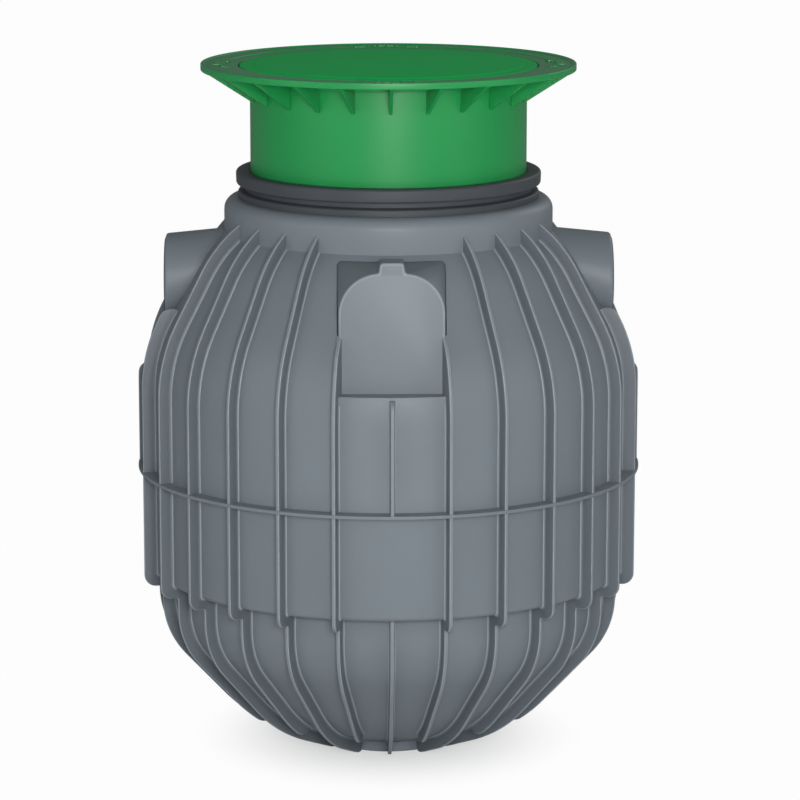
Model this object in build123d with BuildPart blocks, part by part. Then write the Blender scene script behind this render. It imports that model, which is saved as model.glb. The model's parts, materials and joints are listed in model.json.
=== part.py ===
import math
import os

from build123d import *

os.makedirs("parts", exist_ok=True)

# Buried oil separator: two ribbed half shells, telescopic riser, lid, inlet tee, float valve.
# Lengths are in millimetres, angles in degrees. The origin is at the centre of the foot's
# underside, +Z is up, the front plate faces -Y, the inlet is at -X and the outlet at +X.

# tank wall and ribs
wall = 9.0
rib_count = 28
rib_pitch = 360 / rib_count
rib_height = 30.0
rib_thickness = 8.5
rib_root = 5.0
barrel_radius = 586.0
girth_z = 667.5
girth_height = 8.0
girth_reach = 2.0

# dome, as the line of the rib tips: arc, straight, arc
dome_start_z = 865.0
dome_low_arc = 361.0
dome_slope = 29.6
dome_straight = 126.0
dome_high_arc = 312.0

# neck
neck_radius = 381.5
neck_wall = 10.0
neck_top_z = 1300.0
neck_round = 28.0
neck_mouth_radius = 346.0

# step and bowl, as the line of the rib tips: step, straight, arc, straight, arc, straight
step_z = 398.0
step_round = 27.0
step_rise = 24.0
bowl_radius = 543.0
bowl_start_z = 365.0
bowl_high_arc = 200.0
bowl_slope = 42.5
bowl_straight = 137.0
bowl_low_arc = 388.0
bowl_foot_slope = 69.0
short_rib_end = 300.0
foot_radius = 155.0
foot_wall = 9.0

# ribs that stop early
front_rib_top_z = 930.0
side_rib_top_z = 912.0
flank_rib_top_z = 1065.0
plate_rib_top_z = 1070.0
rib_shoulder = 27.0

# arched plate in its pocket, front and back
plate_distance = 505.0
plate_half_width = 117.7
plate_bottom_z = 930.0
plate_top_z = 1204.0
plate_corner = 92.0
plate_edge_round = 3.0
tab_width = 52.0
tab_top_z = 1222.0
tab_round = 9.0
pocket_half_width = 121.0
pocket_top_z = 1207.0
pocket_distance = 368.0
pocket_corner = 12.0

# pipe bosses
pipe_z = 1106.0
boss_distance = 518.0
boss_radius = 104.5
boss_root_distance = 372.0
boss_root_radius = 84.0
boss_root_top_z = 1225.0
boss_round = 6.0

# pipes of nominal size 150
pipe_radius = 80.0
pipe_wall = 4.0
socket_clearance = 0.5
socket_wall = 7.5
socket_depth = 60.0
pipe_seal_thickness = 5.5
pipe_seal_width = 14.0
pipe_seal_proud = 2.0
fit_gap = 0.2

# inlet tee and its downpipe
tee_distance = 250.0
tee_arm = 95.0
tee_top_z = 1196.0
tee_bottom_z = 870.0
coupler_length = 98.0
coupler_wall = 6.0
inlet_drop = 52.0
inlet_bend_arc = 150.0
inlet_mouth_straight = 45.0
inlet_heading = -112.0
mouth_width = 22.0

# trap bend, float valve and cage
valve_x = -15.0
trap_left_radius = 139.0
trap_right_radius = 94.0
trap_wall = 6.0
trap_arc = 154.0
trap_centre_z = 531.0
trap_left_top_z = 680.0
trap_right_top_z = 706.0
trap_socket_depth = 60.0
collar_low_z = 585.0
collar_height = 76.0
collar_thickness = 8.0
seat_radius = 142.0
seat_height = 14.0
seat_hole = 75.0
float_radius = 111.0
float_gap = 0.4
stem_radius = 5.0
stem_height = 32.0
cage_radius = 132.5
cage_rod_radius = 2.5
cage_rod_count = 8
cage_top_z = 1262.0
cage_middle_z = 1215.0
cage_band_height = 8.0
cage_band_thickness = 3.5

# outlet riser and stays
outlet_joint_z = 985.0
support_x = 62.0
support_radius = 25.0
stay_z = 433.0
stay_radius = 21.0

# rubber seal between neck and riser
seal_gap = 0.4
seal_foot_z = 1272.0
seal_low_radius = 349.0
seal_low_height = 15.0
seal_waist_radius = 333.0
seal_top_radius = 354.0
seal_top_low_z = 1331.0
seal_top_height = 31.0
seal_lip_slope = 3.0
seal_lip_round = 5.0

# telescopic riser
riser_radius = 320.0
riser_wall = 12.0
riser_bottom_z = 1245.0
riser_top_z = 1582.8

# cover frame
flange_radius = 433.5
flange_z = 1594.0
rim_height = 15.0
rim_width = 6.0
deck_drop = 3.0
inner_deck_radius = 380.5
inner_deck_drop = 2.0
frame_mouth_radius = 347.0
seat_ledge_radius = 312.0
seat_ledge_top_z = 1590.3
seat_ledge_thickness = 7.0
collar_bottom_z = 1576.0
frame_collar_wall = 7.0
cup_wall = 8.0
gusset_count = 24
gusset_thickness = 8.0
gusset_bottom_z = 1526.0
gusset_reach = 428.0
gusset_toe = 0.2

# lid
lid_gap = 3.0
lid_seat_gap = 0.3
lid_top_z = 1606.5
lid_disc_radius = 309.0
lid_ring_drop = 2.0


def upper_outline(inset, top_radius, top_z, top_round):
    """Half section of the dome and neck, a given depth inside the rib tips."""
    low_arc = dome_low_arc - inset
    high_arc = dome_high_arc - inset
    low_centre = Vector(barrel_radius - dome_low_arc, dome_start_z)
    slope = math.radians(dome_slope)
    arc_low = CenterArc(low_centre, low_arc, 0, dome_slope)
    straight = Line(
        arc_low @ 1,
        (arc_low @ 1) + Vector(-math.sin(slope), math.cos(slope)) * dome_straight,
    )
    high_centre = (straight @ 1) - Vector(math.cos(slope), math.sin(slope)) * high_arc
    end_angle = math.degrees(math.acos((top_radius - high_centre.X) / high_arc))
    arc_high = CenterArc(high_centre, high_arc, dome_slope, end_angle - dome_slope)
    side = Line(arc_high @ 1, (top_radius, top_z - top_round))
    edge = CenterArc((top_radius - top_round, top_z - top_round), top_round, 0, 90)
    top = Line(edge @ 1, (0, top_z))
    axis = Line(top @ 1, (0, girth_z))
    floor = Line(axis @ 1, (barrel_radius - inset, girth_z))
    Line(floor @ 1, arc_low @ 0)


def bowl_outline(inset, end_radius):
    """Lower outline from the bowl's widest point down to the foot, open at both ends."""
    high_arc = bowl_high_arc - inset
    low_arc = bowl_low_arc - inset
    slope = math.radians(bowl_slope)
    foot_slope = math.radians(bowl_foot_slope)
    high_centre = Vector(bowl_radius - bowl_high_arc, bowl_start_z)
    arc_high = CenterArc(high_centre, high_arc, 0, -bowl_slope)
    straight = Line(
        arc_high @ 1,
        (arc_high @ 1) + Vector(-math.sin(slope), -math.cos(slope)) * bowl_straight,
    )
    low_centre = (straight @ 1) + Vector(-math.cos(slope), math.sin(slope)) * low_arc
    arc_low = CenterArc(low_centre, low_arc, -bowl_slope, bowl_slope - bowl_foot_slope)
    drop = ((arc_low @ 1).X - end_radius) / math.tan(foot_slope)
    end = Line(arc_low @ 1, (end_radius, (arc_low @ 1).Y - drop))
    return arc_high @ 0, end @ 1


def lower_outline(inset, shelf_z, shelf_round, end_radius):
    """Half section of the barrel, step and bowl, a given depth inside the rib tips."""
    start, end = bowl_outline(inset, end_radius)
    outer = barrel_radius - inset
    shelf = Line(start, (start.X, shelf_z))
    ledge = Line(shelf @ 1, (outer - shelf_round, shelf_z))
    corner = CenterArc((outer - shelf_round, shelf_z + shelf_round), shelf_round, -90, 90)
    side = Line(corner @ 1, (outer, girth_z))
    top = Line(side @ 1, (0, girth_z))
    axis = Line(top @ 1, (0, end.Y))
    Line(axis @ 1, end)


def turned(angles):
    """One location on the tank's axis for each angle."""
    return [Location((0, 0, 0), (0, 0, angle)) for angle in angles]


def rib_angles(chosen):
    """Angles of the ribs whose index, counted from the front, is chosen."""
    return [-90 + index * rib_pitch for index in range(rib_count) if chosen(index)]


sharp_round = 0.01
cavity_round = 1.0
field_inset = rib_height
root_inset = rib_height + rib_root
cavity_inset = rib_height + wall
quarter = rib_count // 4
half_turn = rib_count // 2


def upper_rib(top_z, shoulder):
    """Blade of one dome rib, from the girth up to the neck or to a rounded lower end."""
    with BuildPart() as rib:
        with BuildSketch(Plane.XZ) as blade:
            with BuildLine():
                upper_outline(0, neck_radius - rib_root, neck_top_z - neck_round, sharp_round)
            make_face()
            with BuildLine():
                upper_outline(root_inset, neck_radius - rib_root, neck_top_z, sharp_round)
            make_face(mode=Mode.SUBTRACT)
            with Locations((barrel_radius / 2, top_z)):
                Rectangle(barrel_radius * 2, neck_top_z, align=(Align.CENTER, Align.MIN),
                          mode=Mode.SUBTRACT)
            if shoulder:
                fillet(blade.vertices().group_by(Axis.Y)[-1].sort_by(Axis.X)[-1], shoulder)
        extrude(amount=rib_thickness / 2, both=True)
    return rib.part


def crest_z():
    """Height at which a full rib's tip meets the neck."""
    slope = math.radians(dome_slope)
    low_x = barrel_radius - dome_low_arc + dome_low_arc * math.cos(slope)
    low_z = dome_start_z + dome_low_arc * math.sin(slope)
    high_x = low_x - dome_straight * math.sin(slope) - dome_high_arc * math.cos(slope)
    high_z = low_z + dome_straight * math.cos(slope) - dome_high_arc * math.sin(slope)
    reach = (neck_radius - rib_root - high_x) / dome_high_arc
    return high_z + dome_high_arc * math.sin(math.acos(reach))


def lower_rib(with_barrel, end_radius):
    """Blade of one rib below the girth, with or without its part along the barrel."""
    with BuildPart() as rib:
        with BuildSketch(Plane.XZ):
            with BuildLine():
                lower_outline(0, step_z, step_round, foot_radius - rib_root)
            make_face()
            with BuildLine():
                lower_outline(root_inset, step_z + step_rise, rib_root, foot_radius - rib_root)
            make_face(mode=Mode.SUBTRACT)
            with Locations((0, -foot_radius)):
                Rectangle(2 * end_radius, 2 * foot_radius, align=(Align.CENTER, Align.MIN),
                          mode=Mode.SUBTRACT)
            Rectangle(2 * barrel_radius, foot_radius, align=(Align.CENTER, Align.MAX),
                      mode=Mode.SUBTRACT)
            if not with_barrel:
                with Locations((0, step_z)):
                    Rectangle(2 * barrel_radius, girth_z, align=(Align.CENTER, Align.MIN),
                              mode=Mode.SUBTRACT)
        extrude(amount=rib_thickness / 2, both=True)
    return rib.part


def plate_arch(shrink):
    """Arched block behind the plate, front and back, drawn in by a wall or not at all."""
    arch_height = plate_top_z - shrink - plate_bottom_z + wall
    with BuildPart() as block:
        with BuildSketch(Plane.XZ.offset(pocket_distance - wall)) as arch:
            with Locations((0, plate_bottom_z - wall)):
                Rectangle(2 * (plate_half_width - shrink), arch_height,
                          align=(Align.CENTER, Align.MIN))
            fillet(arch.vertices().group_by(Axis.Y)[-1], plate_corner - shrink)
            with Locations((0, plate_bottom_z)):
                Rectangle(tab_width - 2 * shrink, tab_top_z - shrink - plate_bottom_z,
                          align=(Align.CENTER, Align.MIN))
            if shrink == 0:
                fillet(arch.vertices().group_by(Axis.Y)[-1], tab_round)
        extrude(amount=plate_distance - shrink - pocket_distance + wall)
        if shrink == 0:
            front = block.faces().sort_by(Axis.Y)[0]
            fillet(front.edges().filter_by(lambda edge: edge.center().Z > plate_bottom_z),
                   plate_edge_round)
        mirror(about=Plane.XZ)
    return block.part


def plate_pocket(grow):
    """Space cut round the arched plate, front and back, grown by a wall or not at all."""
    with BuildPart() as pocket:
        with BuildSketch(Plane.XZ.offset(pocket_distance - grow)) as opening:
            with Locations((0, plate_bottom_z - grow)):
                Rectangle(2 * (pocket_half_width + grow), pocket_top_z - plate_bottom_z + 2 * grow,
                          align=(Align.CENTER, Align.MIN))
            fillet(opening.vertices().group_by(Axis.Y)[-1], pocket_corner + grow)
        extrude(amount=barrel_radius)
        mirror(about=Plane.XZ)
        add(plate_arch(grow), mode=Mode.SUBTRACT)
    return pocket.part


def pipe_boss(inset):
    """Hood over a pipe, from its flat face to the neck, left and right."""
    root_z = boss_root_top_z - boss_root_radius
    with BuildPart() as boss:
        with BuildSketch(Plane((boss_distance - inset, 0, pipe_z), (0, 1, 0), (1, 0, 0))):
            Circle(boss_radius - inset)
        with BuildSketch(Plane((boss_root_distance, 0, root_z), (0, 1, 0), (1, 0, 0))):
            Circle(boss_root_radius - inset)
        loft()
        if inset == 0:
            fillet(boss.edges().filter_by(GeomType.CIRCLE).sort_by(Axis.X)[-1], boss_round)
        mirror(about=Plane.YZ)
    return boss.part


def across(distance_x, height_z):
    """Plane facing +X at a distance along X."""
    return Plane((distance_x, 0, height_z), (0, 1, 0), (1, 0, 0))


# upper shell: dome, neck, ribs, plates and bosses
socket_radius = pipe_radius + socket_clearance + socket_wall
boss_hole_radius = socket_radius + pipe_seal_thickness + fit_gap
boss_hole_depth = pipe_seal_width + fit_gap

with BuildPart() as dome_cavity:
    with BuildSketch(Plane.XZ):
        with BuildLine():
            upper_outline(cavity_inset, neck_radius - neck_wall, neck_top_z - wall, wall)
        make_face()
    revolve(axis=Axis.Z)
    add(plate_pocket(wall), mode=Mode.SUBTRACT)
    add(plate_arch(wall))
    add(pipe_boss(wall))
    with BuildSketch(across(-boss_distance, pipe_z)):
        Circle(socket_radius + fit_gap)
    extrude(amount=2 * boss_distance)
    with BuildSketch(Plane.XY.offset(neck_top_z - 2 * wall)):
        Circle(neck_mouth_radius)
    extrude(amount=4 * wall)
    with BuildSketch(across(boss_distance - boss_hole_depth, pipe_z)):
        Circle(boss_hole_radius)
    extrude(amount=2 * boss_hole_depth)
    with BuildSketch(across(boss_hole_depth - boss_distance, pipe_z)):
        Circle(boss_hole_radius)
    extrude(amount=-2 * boss_hole_depth)

with BuildPart() as upper_shell:
    with BuildSketch(Plane.XZ):
        with BuildLine():
            upper_outline(field_inset, neck_radius, neck_top_z, neck_round)
        make_face()
    revolve(axis=Axis.Z)
    with BuildSketch(Plane.XY.offset(girth_z)):
        Circle(barrel_radius + girth_reach)
    extrude(amount=girth_height / 2)
    with Locations(*turned(rib_angles(lambda i: 1 < abs(i % half_turn - quarter) < quarter - 1))):
        add(upper_rib(crest_z(), 0))
    with Locations(*turned(rib_angles(lambda i: abs(i % half_turn - quarter) == 1))):
        add(upper_rib(flank_rib_top_z, rib_shoulder))
    with Locations(*turned(rib_angles(lambda i: i % half_turn == 0))):
        add(upper_rib(front_rib_top_z, rib_shoulder))
    with Locations(*turned(rib_angles(lambda i: i % half_turn == quarter))):
        add(upper_rib(side_rib_top_z, rib_shoulder))
    add(pipe_boss(0))
    add(plate_arch(0))
    add(plate_pocket(0), mode=Mode.SUBTRACT)
    with Locations(*turned(rib_angles(lambda i: abs(i % half_turn - quarter) == quarter - 1))):
        add(upper_rib(plate_rib_top_z, rib_shoulder))
    add(dome_cavity.part, mode=Mode.SUBTRACT)
upper_shell.part.label = "upper_shell"
export_step(upper_shell.part, "parts/upper_shell.step")

# lower shell: barrel, step, bowl, ribs and foot
with BuildPart() as bowl_cavity:
    with BuildSketch(Plane.XZ):
        with BuildLine():
            lower_outline(cavity_inset, step_z + step_rise + wall, cavity_round,
                          foot_radius - foot_wall)
        make_face()
    revolve(axis=Axis.Z)
    with BuildSketch(Plane.XY.offset(foot_wall)):
        Circle(foot_radius - foot_wall)
    extrude(amount=foot_radius)

with BuildPart() as lower_shell:
    with BuildSketch(Plane.XZ):
        with BuildLine():
            lower_outline(field_inset, step_z + step_rise, wall, foot_radius)
        make_face()
    revolve(axis=Axis.Z)
    with BuildSketch(Plane.XY):
        Circle(foot_radius)
    extrude(amount=foot_radius / 2)
    with BuildSketch(Plane.XY.offset(girth_z - girth_height / 2)):
        Circle(barrel_radius + girth_reach)
    extrude(amount=girth_height / 2)
    with Locations(*turned(rib_angles(lambda i: i % 2 == 0 and i % half_turn))):
        add(lower_rib(True, foot_radius - rib_root))
    with Locations(*turned(rib_angles(lambda i: i % half_turn == 0))):
        add(lower_rib(False, foot_radius - rib_root))
    with Locations(*turned(rib_angles(lambda i: i % 2 and i % half_turn != quarter))):
        add(lower_rib(True, short_rib_end))
    with Locations(*turned(rib_angles(lambda i: i % half_turn == quarter))):
        add(lower_rib(False, short_rib_end))
    add(bowl_cavity.part, mode=Mode.SUBTRACT)
lower_shell.part.label = "lower_shell"
export_step(lower_shell.part, "parts/lower_shell.step")

# rubber seal in the neck's mouth
seal_bore = riser_radius + seal_gap
with BuildPart() as neck_seal:
    with BuildSketch(Plane.XZ) as seal_section:
        with BuildLine():
            Polyline(
                (seal_bore, seal_foot_z),
                (neck_mouth_radius - fit_gap, seal_foot_z),
                (neck_mouth_radius - fit_gap, neck_top_z + fit_gap),
                (seal_low_radius, neck_top_z + fit_gap),
                (seal_low_radius, neck_top_z + seal_low_height),
                (seal_waist_radius, neck_top_z + seal_low_height + seal_lip_slope),
                (seal_waist_radius, seal_top_low_z),
                (seal_top_radius, seal_top_low_z + seal_lip_slope),
                (seal_top_radius, seal_top_low_z + seal_top_height),
                (seal_bore, seal_top_low_z + seal_top_height),
                close=True,
            )
        make_face()
        lips = seal_section.vertices().filter_by(
            lambda v: v.X > neck_mouth_radius and v.Y > neck_top_z + seal_lip_round)
        fillet(lips, seal_lip_round)
    revolve(axis=Axis.Z)
neck_seal.part.label = "neck_seal"
export_step(neck_seal.part, "parts/neck_seal.step")


def pipe_ring(side):
    """Rubber ring between a boss and its pipe socket."""
    with BuildPart() as ring:
        with BuildSketch(across(side * (boss_distance + pipe_seal_proud), pipe_z)):
            Circle(socket_radius + pipe_seal_thickness)
            Circle(socket_radius + fit_gap, mode=Mode.SUBTRACT)
        extrude(amount=-side * pipe_seal_width)
    return ring


def socket_pipe(side, inner_end):
    """Pipe with a socket whose mouth is flush with the boss, running in to a given place."""
    with BuildPart() as pipe:
        with BuildSketch(across(side * inner_end, pipe_z)):
            Circle(pipe_radius)
        extrude(amount=side * (boss_distance - inner_end))
        with BuildSketch(across(side * boss_distance, pipe_z)):
            Circle(socket_radius)
        extrude(amount=-side * socket_depth)
        with BuildSketch(across(side * inner_end, pipe_z)):
            Circle(pipe_radius - pipe_wall)
        extrude(amount=side * (boss_distance - inner_end), mode=Mode.SUBTRACT)
        with BuildSketch(across(side * boss_distance, pipe_z)):
            Circle(pipe_radius + socket_clearance)
        extrude(amount=-side * (socket_depth - pipe_wall), mode=Mode.SUBTRACT)
    return pipe


inlet_seal = pipe_ring(-1)
inlet_seal.part.label = "inlet_seal"
export_step(inlet_seal.part, "parts/inlet_seal.step")

outlet_seal = pipe_ring(1)
outlet_seal.part.label = "outlet_seal"
export_step(outlet_seal.part, "parts/outlet_seal.step")

tee_arm_end = tee_distance + tee_arm
inlet_pipe = socket_pipe(-1, tee_arm_end)
inlet_pipe.part.label = "inlet_pipe"
export_step(inlet_pipe.part, "parts/inlet_pipe.step")

outlet_x = valve_x + 2 * trap_arc
outlet_bend_arc = pipe_z - outlet_joint_z
outlet_pipe_start = outlet_x + outlet_bend_arc
outlet_pipe = socket_pipe(1, outlet_pipe_start)
outlet_pipe.part.label = "outlet_pipe"
export_step(outlet_pipe.part, "parts/outlet_pipe.step")

# inlet tee
with BuildPart() as inlet_tee:
    with BuildSketch(Plane((-tee_distance, 0, tee_bottom_z))):
        Circle(pipe_radius)
    extrude(amount=tee_top_z - tee_bottom_z)
    with BuildSketch(across(-tee_arm_end, pipe_z)):
        Circle(pipe_radius)
    extrude(amount=tee_arm)
    with BuildSketch(Plane((-tee_distance, 0, tee_bottom_z))):
        Circle(pipe_radius - pipe_wall)
    extrude(amount=tee_top_z - tee_bottom_z, mode=Mode.SUBTRACT)
    with BuildSketch(across(-tee_arm_end, pipe_z)):
        Circle(pipe_radius - pipe_wall)
    extrude(amount=tee_arm, mode=Mode.SUBTRACT)
inlet_tee.part.label = "inlet_tee"
export_step(inlet_tee.part, "parts/inlet_tee.step")

# bend below the tee, turning the flow along the tank's wall
heading = Vector(math.cos(math.radians(inlet_heading)), math.sin(math.radians(inlet_heading)), 0)
bend_plane = Plane((-tee_distance, 0, tee_bottom_z), heading, heading.cross(Vector(0, 0, 1)))
with BuildPart() as inlet_bend:
    with BuildLine(bend_plane) as bend_path:
        drop = Line((0, 0), (0, -inlet_drop))
        turn = RadiusArc(drop @ 1, (inlet_bend_arc, -inlet_drop - inlet_bend_arc), -inlet_bend_arc)
        Line(turn @ 1, (turn @ 1) + heading * inlet_mouth_straight)
    with BuildSketch(Plane((-tee_distance, 0, tee_bottom_z))):
        Circle(pipe_radius)
        Circle(pipe_radius - pipe_wall, mode=Mode.SUBTRACT)
    sweep(path=bend_path.wires()[0])
    mouth_end = bend_path.wires()[0] @ 1
inlet_bend.part.label = "inlet_bend"
export_step(inlet_bend.part, "parts/inlet_bend.step")

with BuildPart() as inlet_mouth:
    with BuildSketch(Plane(mouth_end, z_dir=heading)):
        Circle(pipe_radius + coupler_wall)
        Circle(pipe_radius + fit_gap, mode=Mode.SUBTRACT)
    extrude(amount=-mouth_width)
inlet_mouth.part.label = "inlet_mouth"
export_step(inlet_mouth.part, "parts/inlet_mouth.step")


def pipe_coupler(centre_x, joint_z):
    """Double socket round a joint of an upright pipe."""
    with BuildPart() as coupler:
        with BuildSketch(Plane((centre_x, 0, joint_z - coupler_length / 2))):
            Circle(pipe_radius + coupler_wall)
            Circle(pipe_radius + fit_gap, mode=Mode.SUBTRACT)
        extrude(amount=coupler_length)
    return coupler


inlet_coupler = pipe_coupler(-tee_distance, tee_bottom_z)
inlet_coupler.part.label = "inlet_coupler"
export_step(inlet_coupler.part, "parts/inlet_coupler.step")

outlet_coupler = pipe_coupler(outlet_x, outlet_joint_z - coupler_length / 2)
outlet_coupler.part.label = "outlet_coupler"
export_step(outlet_coupler.part, "parts/outlet_coupler.step")


# trap: a U of pipe that narrows from the float valve to the outlet riser
def trap_loft(inset):
    """Solid U through circles that shrink along a half turn."""
    centre = Vector(valve_x + trap_arc, 0, trap_centre_z)
    spans = 6
    with BuildPart() as bend:
        for step in range(spans + 1):
            turn = step / spans
            angle = math.pi * (1 + turn)
            along = Vector(math.cos(angle), 0, math.sin(angle))
            shrink = (1 - math.cos(math.pi * max(0, turn - 0.25) / 0.75)) / 2
            radius = trap_left_radius + (trap_right_radius - trap_left_radius) * shrink
            normal = Vector(-math.sin(angle), 0, math.cos(angle))
            with BuildSketch(Plane(centre + along * trap_arc, (0, 1, 0), normal)):
                Circle(radius - inset)
        loft()
        with BuildSketch(Plane((valve_x, 0, trap_centre_z))):
            Circle(trap_left_radius - inset)
        extrude(amount=trap_left_top_z - trap_centre_z)
        with BuildSketch(Plane((outlet_x, 0, trap_centre_z))):
            Circle(trap_right_radius - inset)
        extrude(amount=trap_right_top_z - trap_centre_z)
    return bend.part


with BuildPart() as trap_bend:
    add(trap_loft(0))
    add(trap_loft(trap_wall), mode=Mode.SUBTRACT)
    with BuildSketch(Plane((outlet_x, 0, trap_right_top_z))):
        Circle(trap_right_radius - trap_wall / 2)
        Circle(pipe_radius + fit_gap, mode=Mode.SUBTRACT)
    extrude(amount=-trap_socket_depth)
trap_bend.part.label = "trap_bend"
export_step(trap_bend.part, "parts/trap_bend.step")

with BuildPart() as trap_collar:
    with BuildSketch(Plane((valve_x, 0, collar_low_z))):
        Circle(trap_left_radius + collar_thickness)
        Circle(trap_left_radius + fit_gap, mode=Mode.SUBTRACT)
    extrude(amount=collar_height)
trap_collar.part.label = "trap_collar"
export_step(trap_collar.part, "parts/trap_collar.step")

# float valve: seat, ball, stem and cage
seat_top_z = trap_left_top_z + fit_gap + seat_height
float_z = seat_top_z + math.sqrt(float_radius**2 - seat_hole**2) + float_gap
with BuildPart() as valve_seat:
    with BuildSketch(Plane((valve_x, 0, trap_left_top_z + fit_gap))):
        Circle(seat_radius)
        Circle(seat_hole, mode=Mode.SUBTRACT)
    extrude(amount=seat_height)
valve_seat.part.label = "valve_seat"
export_step(valve_seat.part, "parts/valve_seat.step")

with BuildPart() as float_ball:
    with Locations((valve_x, 0, float_z)):
        Sphere(float_radius)
float_ball.part.label = "float_ball"
export_step(float_ball.part, "parts/float_ball.step")

with BuildPart() as float_stem:
    with BuildSketch(Plane((valve_x, 0, float_z + float_radius + fit_gap))):
        Circle(stem_radius)
    extrude(amount=stem_height)
float_stem.part.label = "float_stem"
export_step(float_stem.part, "parts/float_stem.step")

rod_circle = cage_radius - cage_rod_radius
with BuildPart() as cage_rods:
    with BuildSketch(Plane((valve_x, 0, seat_top_z + fit_gap))):
        with PolarLocations(rod_circle, cage_rod_count):
            Circle(cage_rod_radius)
    extrude(amount=cage_top_z - seat_top_z - fit_gap)
cage_rods.part.label = "cage_rods"
export_step(cage_rods.part, "parts/cage_rods.step")


def cage_band(low_z):
    """Flat hoop round the cage's rods."""
    with BuildPart() as band:
        with BuildSketch(Plane((valve_x, 0, low_z))):
            Circle(cage_radius + cage_band_thickness)
            Circle(cage_radius + fit_gap, mode=Mode.SUBTRACT)
        extrude(amount=cage_band_height)
    return band


cage_foot_ring = cage_band(seat_top_z + fit_gap)
cage_foot_ring.part.label = "cage_foot_ring"
export_step(cage_foot_ring.part, "parts/cage_foot_ring.step")

cage_middle_ring = cage_band(cage_middle_z - cage_band_height)
cage_middle_ring.part.label = "cage_middle_ring"
export_step(cage_middle_ring.part, "parts/cage_middle_ring.step")

cage_top_ring = cage_band(cage_top_z - cage_band_height)
cage_top_ring.part.label = "cage_top_ring"
export_step(cage_top_ring.part, "parts/cage_top_ring.step")

# outlet riser and bend
outlet_riser_bottom_z = trap_right_top_z - trap_socket_depth + pipe_wall
with BuildPart() as outlet_riser:
    with BuildSketch(Plane((outlet_x, 0, outlet_riser_bottom_z))):
        Circle(pipe_radius)
        Circle(pipe_radius - pipe_wall, mode=Mode.SUBTRACT)
    extrude(amount=outlet_joint_z - coupler_length / 2 - outlet_riser_bottom_z)
outlet_riser.part.label = "outlet_riser"
export_step(outlet_riser.part, "parts/outlet_riser.step")

with BuildPart() as outlet_bend:
    with BuildLine(Plane.XZ) as outlet_path:
        rise = Line((outlet_x, outlet_joint_z - coupler_length / 2), (outlet_x, outlet_joint_z))
        RadiusArc(rise @ 1, (outlet_pipe_start, pipe_z), outlet_bend_arc)
    with BuildSketch(Plane((outlet_x, 0, outlet_joint_z - coupler_length / 2))):
        Circle(pipe_radius)
        Circle(pipe_radius - pipe_wall, mode=Mode.SUBTRACT)
    sweep(path=outlet_path.wires()[0])
outlet_bend.part.label = "outlet_bend"
export_step(outlet_bend.part, "parts/outlet_bend.step")

# stays that hold the trap off the tank's wall
with BuildPart() as support_foot:
    with BuildSketch(Plane((support_x, 0, foot_wall + fit_gap))):
        Circle(support_radius)
    extrude(amount=trap_centre_z - trap_arc - foot_wall)
    add(trap_loft(-fit_gap), mode=Mode.SUBTRACT)
support_foot.part.label = "support_foot"
export_step(support_foot.part, "parts/support_foot.step")

with BuildPart() as side_stay:
    with BuildSketch(across(outlet_x, stay_z + stay_radius)):
        Circle(stay_radius)
    extrude(amount=barrel_radius - cavity_inset - outlet_x - 2 * fit_gap)
    add(trap_loft(-fit_gap), mode=Mode.SUBTRACT)
side_stay.part.label = "side_stay"
export_step(side_stay.part, "parts/side_stay.step")

# telescopic riser
with BuildPart() as riser_tube:
    with BuildSketch(Plane.XY.offset(riser_bottom_z)):
        Circle(riser_radius)
        Circle(riser_radius - riser_wall, mode=Mode.SUBTRACT)
    extrude(amount=riser_top_z - riser_bottom_z)
riser_tube.part.label = "riser_tube"
export_step(riser_tube.part, "parts/riser_tube.step")

# cover frame: flange, collar, lid seat and gussets
rim_top_z = flange_z + rim_height
deck_z = rim_top_z - deck_drop
inner_deck_z = deck_z - inner_deck_drop
collar_bore = riser_radius + fit_gap
cup_bottom_z = seat_ledge_top_z - seat_ledge_thickness
cup_radius = frame_mouth_radius + cup_wall
with BuildPart() as gusset:
    with BuildSketch(Plane.XZ):
        with BuildLine():
            Polyline(
                (collar_bore + gusset_toe, gusset_bottom_z),
                (gusset_reach, flange_z),
                (gusset_reach, flange_z + deck_drop),
                (cup_radius - cup_wall / 2, flange_z + deck_drop),
                (cup_radius - cup_wall / 2, cup_bottom_z + deck_drop),
                (collar_bore + gusset_toe, cup_bottom_z + deck_drop),
                close=True,
            )
        make_face()
    extrude(amount=gusset_thickness / 2, both=True)

with BuildPart() as cover_frame:
    with BuildSketch(Plane.XZ):
        with BuildLine():
            Polyline(
                (collar_bore, collar_bottom_z),
                (collar_bore + frame_collar_wall, collar_bottom_z),
                (collar_bore + frame_collar_wall, cup_bottom_z),
                (cup_radius, cup_bottom_z),
                (cup_radius, flange_z),
                (flange_radius, flange_z),
                (flange_radius, rim_top_z),
                (flange_radius - rim_width, rim_top_z),
                (flange_radius - rim_width - deck_drop, deck_z),
                (inner_deck_radius, deck_z),
                (inner_deck_radius, inner_deck_z),
                (frame_mouth_radius, inner_deck_z),
                (frame_mouth_radius, seat_ledge_top_z),
                (seat_ledge_radius, seat_ledge_top_z),
                (seat_ledge_radius, cup_bottom_z),
                (collar_bore, cup_bottom_z),
                close=True,
            )
        make_face()
    revolve(axis=Axis.Z)
    with Locations(*turned([index * 360 / gusset_count for index in range(gusset_count)])):
        add(gusset.part)
cover_frame.part.label = "cover_frame"
export_step(cover_frame.part, "parts/cover_frame.step")

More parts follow.
